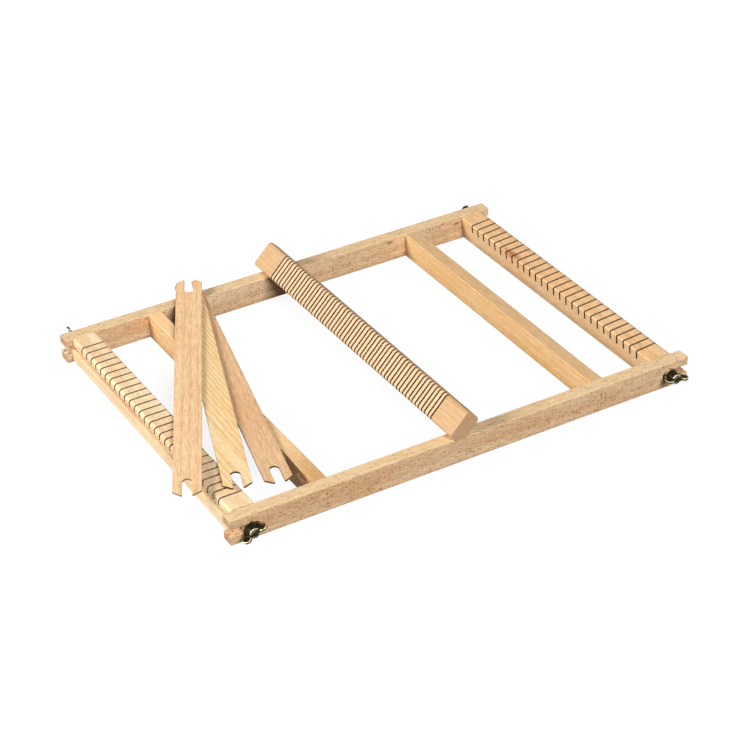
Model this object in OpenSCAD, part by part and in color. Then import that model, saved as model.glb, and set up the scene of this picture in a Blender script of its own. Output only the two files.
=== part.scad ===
// Small table loom for weaving, shown with its heddle bar laid across the frame
// and its three flat stick shuttles laid in a fan over the far left corner.
//
// Two long side rails are nailed to the ends of two crossbars, with two brads
// punched below the face at each joint. A slotted warp bar lies between the
// rails at each end. A threaded stud in each end of a
// warp bar passes through an open slot in the rail, and a wing nut clamps it
// there, so both bars can be slid outwards and tilted to stretch the warp.
//
// Millimetres. +X runs along the rails, +Y from the front rail to the back rail,
// +Z up. The origin is the middle of the underside of the front rail.

/* [Frame] */
// Length of each side rail
rail_length = 450; // [360:5:600]
// Clear width between the two side rails
inside_width = 310; // [240:5:420]
// Thickness of the rails and of the crossbars
rail_thickness = 13; // [12:0.5:20]
// Height of the rails and of the crossbars
rail_height = 24; // [22:0.5:32]
// Distance between the middles of the two crossbars
crossbar_spacing = 272.4; // [200:0.2:290]
// Radius that eases the long edges of the rails and crossbars
edge_radius = 1; // [0.5:0.1:2]

/* [Slots in the rail ends] */
// Height of each slot
slot_height = 8; // [7:0.5:9]
// Distance from the end of the rail to the round end of the slot
slot_depth = 27; // [24:0.5:40]

/* [Brads] */
// Width of each brad
brad_width = 1.2; // [1:0.1:1.6]
// Height of the head of each brad
brad_head_height = 1.9; // [1.6:0.1:2.6]
// Thickness of the head of each brad
brad_head_thickness = 0.8; // [0.5:0.1:1.2]
// Height of the shank of each brad
brad_shank = 1; // [0.8:0.1:1.4]
// Length of each brad
brad_length = 32; // [25:1:45]
// Length of the chisel point of each brad
brad_point = 2; // [1:0.5:4]
// How far each head is punched below the face of the rail
brad_set = 0.6; // [0.2:0.1:1.5]
// Vertical distance between the two brads of one joint
brad_spacing = 10.1; // [6:0.1:14]
// Distance of the right brads from the middle of their crossbar
brad_drift = 3; // [0:0.1:4]

/* [Warp bars] */
// Width of each warp bar across its top
bar_width = 23.8; // [20:0.2:26]
// Height of each warp bar
bar_height = 22; // [20:0.5:22]
// How far the comb face is set back from the block below it
comb_setback = 1.6; // [0:0.1:3]
// Height of the comb above the groove
comb_height = 7; // [5:0.5:9]
// Height of the groove below the comb
groove_height = 3.5; // [2:0.5:4]
// Depth of the groove behind the comb face
groove_depth = 3.5; // [1:0.5:4]
// Radius along the outer top edge of the comb
comb_outer_radius = 3; // [1:0.5:4]
// Radius along the inner top edge of the comb
comb_inner_radius = 1.2; // [0.5:0.1:4]
// Distance from one saw cut for the warp to the next
warp_pitch = 10; // [6:0.5:15]
// Least distance from the first and the last warp cut to the end of the bar
warp_margin = 18; // [12:0.5:40]
// Depth of each warp cut
warp_cut_depth = 8; // [4:0.5:8.5]
// Width of each warp cut
warp_kerf = 1.6; // [0.8:0.1:2]
// Distance of the left studs from the rail end
left_inset = 17.2; // [14:0.2:20]
// Distance of the right studs from the rail end
right_inset = 19; // [14:0.2:20]
// Tilt of the right warp bar, outer edge raised
right_tilt = 4.5; // [-8:0.5:8]

/* [Studs, washers and wing nuts] */
// Diameter of the threaded studs
stud_diameter = 6; // [5:0.5:6]
// How far each stud enters its warp bar
stud_in_bar = 28; // [15:1:40]
// Diameter of the washers
washer_diameter = 13; // [12:0.5:16]
// Thickness of the washers
washer_thickness = 1.5; // [1:0.1:2]
// Diameter of the wing nut hub at the washer
hub_diameter = 11.5; // [10:0.5:12]
// Diameter of the wing nut hub at its outer end
hub_top_diameter = 9.5; // [8.5:0.5:10]
// Height of the wing nut hub
hub_height = 8.5; // [6:0.5:9]
// Distance between the tips of the two wings
wing_span = 23.6; // [20:0.2:23.6]
// Height of the wings above the washer
wing_height = 12; // [10:0.5:14]
// Diameter of the round end of each wing
wing_lobe = 8; // [7:0.2:10]
// Thickness of each wing
wing_thickness = 2.6; // [1.6:0.2:3.6]
// Width of the rim round the dished face of each wing
wing_rim = 1.8; // [1.2:0.1:3]
// Depth of the dished face of each wing
dish_depth = 0.5; // [0.2:0.1:0.7]
// Height of the wing root above the washer and below the top of the hub
wing_foot = 0.8; // [0.2:0.1:2]
// How far each stud stands out of its wing nut hub
stud_proud = 1; // [0:0.5:6]
// Turn of each wing nut from level: left front, left back, right front, right back
wing_turns = [26, 116, -7, 33]; // [-180:1:180]

/* [Heddle bar] */
// How far each end of the heddle bar stands out past the rails
heddle_overhang = 3.9; // [-6:0.1:40]
// Width of the slotted face
heddle_width = 26.5; // [22:0.5:32]
// Thickness of the heddle bar
heddle_thickness = 15.5; // [13:0.5:18]
// Leg of the chamfer that it rests on
heddle_chamfer = 6.5; // [4:0.5:7]
// Radius along the edges of the slotted face
heddle_radius = 3.5; // [1:0.5:5]
// Radius along the fourth edge
heddle_back_radius = 4.5; // [1:0.5:6]
// Distance from one pair of heddle slots to the next
heddle_pitch = 10.16; // [9:0.02:11]
// Distance between the deep and the shallow slot of one pair
heddle_pair_gap = 4.7; // [3:0.1:5]
// Depth of the deep slots
deep_slot = 8.5; // [6:0.5:10]
// Depth of the shallow slots
shallow_slot = 5; // [3:0.5:6]
// Depth at which every slot runs out on the far edge of the slotted face
slot_runout = 2; // [1:0.5:4]
// Width of each heddle slot
heddle_kerf = 1.5; // [0.8:0.1:2]
// Distance of the heddle bar from the middle of the rails
heddle_offset = -11.2; // [-20:0.2:60]
// Distance that the heddle bar lies towards the back
heddle_shift = 2.6; // [-3:0.1:3]
// Turn of the heddle bar on the rails
heddle_turn = 0.6; // [-2:0.1:2]

/* [Stick shuttles] */
// Width of each stick shuttle
stick_width = 24; // [20:0.5:30]
// Thickness of each stick shuttle
stick_thickness = 2; // [1.5:0.1:4]
// Length of the top shuttle
top_stick_length = 342; // [250:1:360]
// Length of the middle shuttle
middle_stick_length = 336; // [250:1:360]
// Length of the bottom shuttle
bottom_stick_length = 320; // [250:1:360]
// Distance of the far end of the top shuttle from the left crossbar
top_stick_inset = 48.5; // [30:0.1:60]
// Distance of the far end of the top shuttle past the middle of the back rail
top_stick_reach = 20.6; // [0:0.1:40]
// Turn of the top shuttle
top_stick_turn = -26.47; // [-32:0.01:-20]
// Distance of the far end of the middle shuttle from the left crossbar
middle_stick_inset = 46.7; // [30:0.1:60]
// Distance of the far end of the middle shuttle past the middle of the back rail
middle_stick_reach = 21.5; // [0:0.1:40]
// Turn of the middle shuttle
middle_stick_turn = -19.05; // [-24:0.01:-14]
// Distance of the far end of the bottom shuttle from the left crossbar
bottom_stick_inset = 42.2; // [30:0.1:60]
// Distance of the far end of the bottom shuttle past the middle of the back rail
bottom_stick_reach = 7.7; // [0:0.1:40]
// Turn of the bottom shuttle
bottom_stick_turn = -12.93; // [-18:0.01:-8]
// Width of the notch in each end
notch_width = 8.3; // [6:0.1:10]
// Depth of the notch in each end
notch_depth = 22.5; // [12:0.5:30]
// Width of the sloping cut at each corner
corner_width = 6.5; // [2:0.5:6.5]
// Length of the sloping cut at each corner
corner_length = 5; // [2:0.5:10]

/* [Fits] */
// Clearance of the brads in the wood
brad_clearance = 0.02; // [0.01:0.01:0.1]
// Radial clearance of the studs in the warp bars
stud_clearance = 0.03; // [0.01:0.01:0.1]
// Radial clearance of the washers and wing nuts on the studs
nut_clearance = 0.06; // [0.03:0.01:0.1]
// Gap between each end of a warp bar and the rail
bar_gap = 0.4; // [0.3:0.1:0.6]
// Gap between pieces that rest against each other
rest_gap = 0.05; // [0.02:0.01:0.1]

/* [Hidden] */
$fn = 64;
overcut = 1;
bore_overrun = 1;
back_y = inside_width + rail_thickness;
mid_y = back_y / 2;
half_spacing = crossbar_spacing / 2;
stud_z = rail_height / 2;
left_stud_x = -rail_length / 2 + left_inset;
right_stud_x = rail_length / 2 - right_inset;
bar_length = inside_width - 2 * bar_gap;
bar_top = rail_height - stud_z;
comb_face_x = bar_width / 2 - comb_setback;
groove_top = bar_top - comb_height;
washer_start = mid_y + rail_thickness / 2 + rest_gap;
nut_start = washer_start + washer_thickness + rest_gap;
stud_out = nut_start + hub_height + stud_proud;
wing_lobe_x = (wing_span - wing_lobe) / 2;
wing_lobe_z = wing_height - wing_lobe / 2;
wing_dish = wing_lobe - 2 * wing_rim;
warp_cuts = floor((bar_length - 2 * warp_margin) / warp_pitch) + 1;
heddle_drop = heddle_chamfer / sqrt(2);
heddle_z = rail_height + rest_gap - heddle_drop;
heddle_length = inside_width + 2 * (rail_thickness + heddle_overhang);
heddle_span = (warp_cuts - 1) * heddle_pitch + heddle_pair_gap;
stick_rise = stick_thickness + rest_gap;

// ---- shared shapes ----

// Rectangle with eased corners, centred on X, standing on the X axis.
module eased_rectangle(width, height, radius) {
    translate([-width / 2 + radius, 0]) square([width - 2 * radius, height]);
    translate([-width / 2, radius]) square([width, height - 2 * radius]);
    for (side = [-1, 1], level = [radius, height - radius])
        translate([side * (width / 2 - radius), level]) circle(radius);
}

// Waste outside a rounded corner at the origin, for material on the -X -Y side.
module corner_waste(radius) {
    difference() {
        translate([-radius, -radius]) square(radius + overcut);
        translate([-radius, -radius]) circle(radius);
    }
}

// ---- frame ----

module rail_slot() {
    round_x = rail_length / 2 - slot_depth + slot_height / 2;
    translate([round_x, 0, stud_z]) rotate([90, 0, 0])
        cylinder(d = slot_height, h = rail_thickness + 2 * overcut, center = true);
    translate([round_x, -rail_thickness / 2 - overcut, stud_z - slot_height / 2])
        cube([slot_depth, rail_thickness + 2 * overcut, slot_height]);
}

// One brad driven towards +Y, with its head set below the XZ plane.
// grow widens it into the hole that it makes, and start is where that hole opens.
module brad(grow = 0, start = brad_set) {
    head = brad_head_height / 2 + grow;
    shank = brad_shank / 2 + grow;
    neck = brad_set + brad_head_thickness + grow;
    tip = brad_set + brad_length + grow;
    rotate([90, 0, 90]) linear_extrude(brad_width + 2 * grow, center = true)
        polygon([[start, head], [neck, head], [neck, shank], [tip - brad_point, shank],
                 [tip, 0], [tip - brad_point, -shank], [neck, -shank], [neck, -head],
                 [start, -head]]);
}

// The two brads that hold one crossbar to the front rail.
module joint_brads(side, grow = 0, start = brad_set) {
    joint_x = side * half_spacing - (side > 0 ? brad_drift : 0);
    for (level = [-1, 1])
        translate([joint_x, -rail_thickness / 2, rail_height / 2 + level * brad_spacing / 2])
            brad(grow, start);
}

// Repeats what is drawn at the front rail at the back rail, turned to face it.
module both_rails() {
    for (end = [0, 1]) translate([0, mid_y, 0]) mirror([0, end, 0])
        translate([0, -mid_y, 0]) children();
}

// Side rail along X with its inner face at +Y.
module side_rail() {
    difference() {
        rotate([90, 0, 90]) linear_extrude(rail_length, center = true)
            eased_rectangle(rail_thickness, rail_height, edge_radius);
        for (end = [0, 1]) mirror([end, 0, 0]) rail_slot();
        for (side = [-1, 1]) joint_brads(side, brad_clearance, -overcut);
    }
}

module crossbar(side) {
    difference() {
        translate([side * half_spacing, mid_y, 0]) rotate([90, 0, 0])
            linear_extrude(inside_width, center = true)
                eased_rectangle(rail_thickness, rail_height, edge_radius);
        both_rails() joint_brads(side, brad_clearance, -overcut);
    }
}

module rail_front() { color("burlywood") side_rail(); }

module rail_back() {
    color("burlywood") translate([0, back_y, 0]) mirror([0, 1, 0]) side_rail();
}

module crossbar_left() { color("tan") crossbar(-1); }

module crossbar_right() { color("tan") crossbar(1); }

module crossbar_brads() {
    color("dimgray") both_rails() for (side = [-1, 1]) joint_brads(side);
}

// ---- warp bars, in a frame whose origin is the stud axis and +X points outwards ----

module bar_profile() {
    difference() {
        translate([-bar_width / 2, bar_top - bar_height]) square([bar_width, bar_height]);
        translate([comb_face_x, groove_top - groove_height])
            square([comb_setback + overcut, comb_height + groove_height + overcut]);
        translate([comb_face_x - groove_depth, groove_top - groove_height])
            square([groove_depth + overcut, groove_height]);
        translate([comb_face_x, bar_top]) corner_waste(comb_outer_radius);
        translate([-bar_width / 2, bar_top]) mirror([1, 0]) corner_waste(comb_inner_radius);
    }
}

module warp_bar() {
    difference() {
        rotate([90, 0, 0]) linear_extrude(bar_length, center = true) bar_profile();
        for (cut = [0 : warp_cuts - 1])
            translate([0, (cut - (warp_cuts - 1) / 2) * warp_pitch, bar_top])
                cube([bar_width + 2 * overcut, warp_kerf, 2 * warp_cut_depth], center = true);
        for (end = [-1, 1]) rotate([end * 90, 0, 0])
            translate([0, 0, bar_length / 2 - stud_in_bar - bore_overrun])
                cylinder(d = stud_diameter + 2 * stud_clearance,
                         h = stud_in_bar + bore_overrun + overcut);
    }
}

// Moves a child from the stud frame of one end of the loom into place.
module at_left() {
    translate([left_stud_x, mid_y, stud_z]) mirror([1, 0, 0]) children();
}

module at_right() {
    translate([right_stud_x, mid_y, stud_z]) rotate([0, -right_tilt, 0]) children();
}

module warp_bar_left() { color("blanchedalmond") at_left() warp_bar(); }

module warp_bar_right() { color("burlywood") at_right() warp_bar(); }

// ---- hardware, drawn pointing along +Z from the middle of the loom ----

// Turns hardware towards the front (-1) or the back (+1) rail at one stud.
module facing(stud_x, end) {
    translate([stud_x, mid_y, stud_z]) rotate([-90 * end, 0, 0]) children();
}

module stud() {
    start = bar_length / 2 - stud_in_bar;
    translate([0, 0, start]) cylinder(d = stud_diameter, h = stud_out - start);
}

module washer() {
    translate([0, 0, washer_start])
        difference() {
            cylinder(d = washer_diameter, h = washer_thickness);
            translate([0, 0, -overcut])
                cylinder(d = stud_diameter + 2 * nut_clearance,
                         h = washer_thickness + 2 * overcut);
        }
}

module wing() {
    difference() {
        union() {
            translate([wing_lobe_x, 0, wing_lobe_z]) rotate([90, 0, 0])
                cylinder(d = wing_lobe, h = wing_thickness, center = true);
            translate([0, -wing_thickness / 2, wing_foot])
                cube([wing_lobe_x, wing_thickness, hub_height - 2 * wing_foot]);
        }
        for (face = [0, 1]) mirror([0, face, 0])
            translate([wing_lobe_x, -wing_thickness / 2 - overcut, wing_lobe_z])
                rotate([-90, 0, 0]) cylinder(d = wing_dish, h = overcut + dish_depth);
    }
}

module wing_nut(turn) {
    translate([0, 0, nut_start]) rotate([0, 0, turn])
        difference() {
            union() {
                cylinder(d1 = hub_diameter, d2 = hub_top_diameter, h = hub_height);
                for (side = [0, 1]) mirror([side, 0, 0]) wing();
            }
            translate([0, 0, -overcut])
                cylinder(d = stud_diameter + 2 * nut_clearance,
                         h = wing_height + 2 * overcut);
        }
}

module stud_left_front() { color("dimgray") facing(left_stud_x, -1) stud(); }
module stud_left_back() { color("dimgray") facing(left_stud_x, 1) stud(); }
module stud_right_front() { color("dimgray") facing(right_stud_x, -1) stud(); }
module stud_right_back() { color("dimgray") facing(right_stud_x, 1) stud(); }

module washer_left_front() { color("silver") facing(left_stud_x, -1) washer(); }
module washer_left_back() { color("silver") facing(left_stud_x, 1) washer(); }
module washer_right_front() { color("silver") facing(right_stud_x, -1) washer(); }
module washer_right_back() { color("silver") facing(right_stud_x, 1) washer(); }

// Facing the back rail turns the level plane over, so the turn is reversed there.
module wing_nut_left_front() {
    color("darkgoldenrod") facing(left_stud_x, -1) wing_nut(wing_turns[0]);
}
module wing_nut_left_back() {
    color("darkgoldenrod") facing(left_stud_x, 1) wing_nut(-wing_turns[1]);
}
module wing_nut_right_front() {
    color("darkgoldenrod") facing(right_stud_x, -1) wing_nut(wing_turns[2]);
}
module wing_nut_right_back() {
    color("darkgoldenrod") facing(right_stud_x, 1) wing_nut(-wing_turns[3]);
}

// ---- heddle bar ----

// Section with the corner that is chamfered off at the origin.
module heddle_section() {
    difference() {
        square([heddle_width, heddle_thickness]);
        polygon([[-overcut, -overcut], [heddle_chamfer + overcut, -overcut],
                 [-overcut, heddle_chamfer + overcut]]);
        translate([heddle_width, heddle_thickness]) corner_waste(heddle_radius);
        translate([0, heddle_thickness]) mirror([1, 0]) corner_waste(heddle_radius);
        translate([heddle_width, 0]) mirror([0, 1]) corner_waste(heddle_back_radius);
    }
}

// The bottom of each slot slopes up to the shallow end on the far edge.
module heddle_slot(position, depth) {
    translate([0, position - heddle_kerf / 2, heddle_thickness - depth])
        rotate([0, -atan((depth - slot_runout) / heddle_width), 0])
            translate([-heddle_width, 0, 0])
                cube([3 * heddle_width, heddle_kerf, heddle_width]);
}

module heddle_bar() {
    color("burlywood")
        translate([heddle_offset, mid_y + heddle_shift, heddle_z])
            rotate([0, -45, heddle_turn])
                difference() {
                    rotate([90, 0, 0]) linear_extrude(heddle_length, center = true)
                        heddle_section();
                    for (pair = [0 : warp_cuts - 1]) {
                        deep_at = heddle_span / 2 - pair * heddle_pitch;
                        heddle_slot(deep_at, deep_slot);
                        heddle_slot(deep_at - heddle_pair_gap, shallow_slot);
                    }
                }
}

// ---- stick shuttles ----

module notched_end() {
    translate([0, notch_depth - notch_width / 2]) circle(d = notch_width);
    translate([-notch_width / 2, -overcut])
        square([notch_width, notch_depth - notch_width / 2 + overcut]);
    for (side = [0, 1]) mirror([side, 0]) translate([stick_width / 2, 0])
        polygon([[-corner_width, 0], [0, corner_length], [overcut, corner_length],
                 [overcut, -overcut], [-corner_width, -overcut]]);
}

// Flat stick with its far end at the origin, reaching towards -Y.
module stick(length) {
    linear_extrude(stick_thickness)
        difference() {
            translate([-stick_width / 2, -length]) square([stick_width, length]);
            mirror([0, 1]) notched_end();
            translate([0, -length]) notched_end();
        }
}

// Lays a stick in the fan. The far end is placed from the left crossbar and the
// back rail, and level counts the sticks that lie below it.
module laid_stick(length, inset, reach, turn, level) {
    translate([-half_spacing + inset, back_y + reach,
               rail_height + rest_gap + level * stick_rise])
        rotate([0, 0, turn]) stick(length);
}

module shuttle_bottom() {
    color("tan") laid_stick(bottom_stick_length, bottom_stick_inset, bottom_stick_reach,
                            bottom_stick_turn, 0);
}

module shuttle_middle() {
    color("khaki") laid_stick(middle_stick_length, middle_stick_inset, middle_stick_reach,
                             middle_stick_turn, 1);
}

module shuttle_top() {
    color("burlywood") laid_stick(top_stick_length, top_stick_inset, top_stick_reach,
                                 top_stick_turn, 2);
}

rail_front();
rail_back();
crossbar_left();
crossbar_right();
crossbar_brads();
warp_bar_left();
warp_bar_right();
stud_left_front();
stud_left_back();
stud_right_front();
stud_right_back();
washer_left_front();
washer_left_back();
washer_right_front();
washer_right_back();
wing_nut_left_front();
wing_nut_left_back();
wing_nut_right_front();
wing_nut_right_back();
heddle_bar();
shuttle_bottom();
shuttle_middle();
shuttle_top();
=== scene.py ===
"""Dresses the table loom: sanded beech, maple and ash, bronzed nuts and steel studs.

Each sub-assembly of the loom is a class that holds its own sizes in millimetres,
builds its pieces in place and dresses them. The pieces keep the outline of the
solids that they stand for, and add eased edges, saw marks, threads and castings.
"""

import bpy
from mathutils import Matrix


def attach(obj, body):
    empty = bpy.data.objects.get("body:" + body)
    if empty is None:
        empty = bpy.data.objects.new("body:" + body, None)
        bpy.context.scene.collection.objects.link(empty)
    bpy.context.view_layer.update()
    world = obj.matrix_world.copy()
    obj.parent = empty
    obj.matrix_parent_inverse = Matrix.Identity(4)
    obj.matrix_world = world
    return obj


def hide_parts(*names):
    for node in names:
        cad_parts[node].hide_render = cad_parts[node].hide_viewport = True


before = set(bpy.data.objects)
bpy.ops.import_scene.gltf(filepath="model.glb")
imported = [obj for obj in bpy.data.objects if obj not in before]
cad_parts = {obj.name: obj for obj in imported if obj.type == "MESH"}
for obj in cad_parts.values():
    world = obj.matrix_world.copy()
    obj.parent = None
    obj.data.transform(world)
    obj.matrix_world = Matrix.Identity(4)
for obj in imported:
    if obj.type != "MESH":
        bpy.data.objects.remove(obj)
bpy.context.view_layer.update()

import logging
import math
from contextlib import contextmanager
from dataclasses import dataclass, field
from enum import Enum
from functools import partial
from typing import Any, Iterator

import bmesh
import bpy
import numpy as np
from mathutils import Matrix, Vector

log = logging.getLogger("loom")
MM = 0.001
Tree = bpy.types.NodeTree
Socket = bpy.types.NodeSocket
Piece = bpy.types.Object
Mesh = bpy.types.Mesh
Material = bpy.types.Material
Point = tuple[float, float, float]
# A knot's or darker patch's place along, across and through its board, its length and its
# height.
Knot = tuple[float, float, float, float, float]
# A node's type name starts with one of these families.
FAMILIES = ("ShaderNode", "GeometryNode", "FunctionNode", "Node")


class Side(Enum):
    """The two ends of the loom, each with a warp bar."""

    LEFT = "left"
    RIGHT = "right"


class Rail(Enum):
    """The two side rails, each with the sign of its outward direction along Y."""

    FRONT = -1
    BACK = 1


# ---- colours and node graphs ----


def srgb(code: str) -> tuple[float, float, float, float]:
    """Turns a colour code into the linear colour that a shader takes.

    Args:
        code: a hex code such as "#d9b384".

    Returns:
        Red, green, blue and an alpha of one.
    """
    parts = [int(code[i : i + 2], 16) / 255 for i in (1, 3, 5)]
    linear = [c / 12.92 if c <= 0.04045 else ((c + 0.055) / 1.055) ** 2.4 for c in parts]
    return (*linear, 1.0)


def add(tree: Tree, kind: str, inputs: Any = (), out: int | str = 0,
        **settings: Any) -> Socket:
    """Adds a node with its settings and links.

    Args:
        tree: the tree that gets the node.
        kind: the node's type without its family, then a dot and its operation if any.
        inputs: values or sockets, in order or by input name.
        out: the output to return.
        settings: the node's own properties.

    Returns:
        The chosen output, or the first input of a node without outputs.
    """
    kind, _, operation = kind.partition(".")
    family = next(name for name in FAMILIES if hasattr(bpy.types, name + kind))
    node = tree.nodes.new(family + kind)
    if operation:
        node.operation = operation
    for key, value in settings.items():
        setattr(node, key, value)
    pairs = inputs.items() if isinstance(inputs, dict) else enumerate(inputs)
    for key, value in pairs:
        if isinstance(value, Socket):
            tree.links.new(value, node.inputs[key])
        else:
            node.inputs[key].default_value = value
    return node.outputs[out] if len(node.outputs) else node.inputs[0]


def new_material(name: str) -> tuple[Material, Tree]:
    """Makes an empty node material.

    Args:
        name: the material's name.

    Returns:
        The material and its cleared node tree.
    """
    material = bpy.data.materials.new(name)
    material.use_nodes = True
    material.node_tree.nodes.clear()
    return material, material.node_tree


# ---- finishes ----


@dataclass(frozen=True)
class Grain:
    """How a board was cut from the log, for the pattern in its wood.

    The grain runs along the board's own X. The pith is where the heart of the
    log lies across the board, so it sets how the growth rings meet each face.
    The sample is how far the pattern is shifted along the grain, so that no two
    boards are alike. All lengths are in millimetres.
    """

    centre: Point
    heading: float
    roll: float
    pith: tuple[float, float]
    sample: float
    knots: tuple[Knot, ...] = ()


@dataclass(frozen=True)
class Noise:
    """A noise in the wood, by how often it repeats per millimetre along and across."""

    along: float
    across: float
    detail: float
    roughness: float
    distortion: float = 0.0


# Fibres lie about a millimetre apart so that they show. Patches crowd the flecks,
# and a slower drift makes the wood warmer in places.
FIBRES = Noise(0.09, 1.1, 4.0, 0.6, 0.3)
PATCHES = Noise(0.02, 0.12, 2.0, 0.5)
DRIFT = Noise(0.012, 0.07, 3.0, 0.55)
# The wave texture repeats every 0.314 at a scale of one.
WAVE_SPAN = 0.314
# The upper faces of the frame, which get the painted top light, lie between these heights in
# millimetres.
TOP_FROM, TOP_FULL = 23.4, 23.9
# The foot of a board is darker up to this height in millimetres.
FOOT_HEIGHT = 7


@dataclass(frozen=True)
class Rings:
    """Growth rings: their width in millimetres, how dark they are, and their waver."""

    wide: float
    strength: float
    waver: float = 3.0


@dataclass(frozen=True)
class Flecks:
    """Ray flecks: length and height in millimetres, how many, and how dark they are."""

    long: float
    high: float
    share: float
    strength: float


@dataclass(frozen=True)
class WoodFinish:
    """Sanded hardwood with growth rings, fine fibres and short ray flecks."""

    name: str
    pale: str
    late: str
    fleck: str
    tint: str
    rings: Rings
    flecks: Flecks
    fibre_strength: float = 0.16
    tint_strength: float = 0.5
    foot_tint: float = 0.0
    # the painted top light: the tone that light from above gives the frame's upper faces, and
    # its share
    painted_top_light_tone: str = "#e8cda4"
    painted_top_light_share: float = 0.0
    # a painted highlight on the upward faces between saw cuts
    ridge_highlight_tone: str = "#fbe4c2"
    knot_shade: str = "#8a4f28"
    # the cutter's scorch, which also serves as painted shade deep in saw cuts and on the sides
    # of stacked sticks
    scorch_and_shade: str = "#3a1a03"
    end_shade: str = "#b88f6e"
    end_share: float = 0.55
    roughness: float = 0.6
    sheen: float = 0.2
    relief_mm: float = 0.05

    def material(self, piece: str, grain: Grain) -> Material:
        """Makes the wood of one board.

        Args:
            piece: the board's name.
            grain: how the board lies and how it was cut.

        Returns:
            The material, which reads the marks "crosscut", "ridge" and "sawn".
        """
        made, tree = new_material(f"{self.name}, {piece}")
        node = partial(add, tree)
        place = node("TexCoord", out="Object")
        board = node("Mapping", {
            "Vector": place, "Location": [v * MM for v in grain.centre],
            "Rotation": (math.radians(grain.roll), 0.0, math.radians(grain.heading)),
            "Scale": (MM, MM, MM)}, vector_type="TEXTURE")
        board = node("VectorMath.ADD", [board, (grain.sample, 0.0, 0.0)])
        fibres, patches, drift = (
            node("TexNoise", {
                "Vector": node("VectorMath.MULTIPLY", [
                    board, (noise.along, noise.across, noise.across)]),
                "Scale": 1.0, "Detail": noise.detail, "Roughness": noise.roughness,
                "Distortion": noise.distortion})
            for noise in (FIBRES, PATCHES, DRIFT))
        fibre_shade = node("MapRange", [
            fibres, 0.32, 0.68, 1.0 - self.fibre_strength, 1.0 + self.fibre_strength / 2])

        # growth rings lie round the pith and waver slowly along the board
        slow = node("VectorMath.MULTIPLY", [board, (0.05, 1.0, 1.0)])
        rings = node("TexWave", {
            "Vector": node("VectorMath.SUBTRACT", [slow, (0.0, *grain.pith)]),
            "Scale": WAVE_SPAN / self.rings.wide, "Distortion": self.rings.waver,
            "Detail": 2.0, "Detail Scale": 0.7, "Detail Roughness": 0.5,
        }, out="Fac", wave_type="RINGS", rings_direction="X", wave_profile="SAW")
        late = node("MapRange", [rings, 0.35, 1.0, 0.0, self.rings.strength],
                    interpolation_type="SMOOTHSTEP")

        # upper faces of the frame get a painted top light, and its foot is warmer
        height = node("SeparateXYZ", [place], out="Z")
        painted_top_light = node("MapRange", [height, TOP_FROM * MM, TOP_FULL * MM, 0.0, self.painted_top_light_share])
        warm = node("MapRange", [drift, 0.42, 0.7, 0.0, self.tint_strength])
        foot = node("MapRange", [height, 0.0, FOOT_HEIGHT * MM, self.foot_tint, 0.0])
        warm = node("Math.ADD", [warm, foot], use_clamp=True)

        # ray flecks are short spindles along the grain, drawn twice their real size
        long, high = self.flecks.long, self.flecks.high
        cells = node("VectorMath.MULTIPLY", [board, (1 / long, 0.25 / high, 1 / high)])
        spindle = node("TexVoronoi", {"Vector": cells, "Scale": 1.0}, out="Distance")
        chosen = node("SeparateColor", [spindle.node.outputs["Color"]])
        kept = node("Math.LESS_THAN", [chosen, self.flecks.share])
        heart = node("MapRange", [spindle, 0.22, 0.44, 1.0, 0.0],
                     interpolation_type="SMOOTHSTEP")
        dark = self.flecks.strength
        crowd = node("MapRange", [patches, 0.35, 0.62, 0.5 * dark, dark])
        # the painted top light also washes out the flecks on the upper faces
        crowd = node("Math.MULTIPLY", [crowd, node("Math.SUBTRACT", [1.0, painted_top_light])])
        flecks = node("Math.MULTIPLY", [node("Math.MULTIPLY", [heart, kept]), crowd])

        # each layer of the sound wood, and the painted top light, covers its share of the one
        # below
        shade: Any = srgb(self.pale)
        layers = [(late, self.late), (warm, self.tint), (painted_top_light, self.painted_top_light_tone)]
        layers += [(self.knot_share(tree, board, grain.sample, knot), self.knot_shade)
                   for knot in grain.knots]
        for share, tone in [*layers, (flecks, self.fleck)]:
            shade = node("Mix", {0: share, 6: shade, 7: srgb(tone)}, out=2, data_type="RGBA")
        shade = node("VectorMath.SCALE", {0: shade, "Scale": fibre_shade})

        # end grain is darker, the upward faces between cuts get a painted highlight, and the
        # walls of cuts and the sides of sticks get scorch with painted shade
        crosscut, ridge, sawn = (node("Attribute", out="Fac", attribute_name=name)
                                 for name in ("crosscut", "ridge", "sawn"))
        end = node("Math.MULTIPLY", [crosscut, self.end_share])
        uneven = node("MapRange", [fibres, 0.2, 0.8, 0.9, 1.1])
        burn_and_shade = node("Math.MULTIPLY", [sawn, uneven], use_clamp=True)
        for share, tone in ((end, self.end_shade), (ridge, self.ridge_highlight_tone),
                            (burn_and_shade, self.scorch_and_shade)):
            shade = node("Mix", {0: share, 6: shade, 7: srgb(tone)}, out=2, data_type="RGBA")

        bump = node("Bump", {"Height": fibres, "Strength": 0.5,
                             "Distance": self.relief_mm * MM}, out="Normal")
        dull = node("MapRange", [
            fibres, 0.3, 0.7, self.roughness + 0.08, self.roughness - 0.05])
        surface = node("BsdfPrincipled", {
            "Base Color": shade, "Roughness": dull, "IOR": 1.5,
            "Specular IOR Level": self.sheen, "Normal": bump})
        node("OutputMaterial", {"Surface": surface})
        return made

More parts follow.
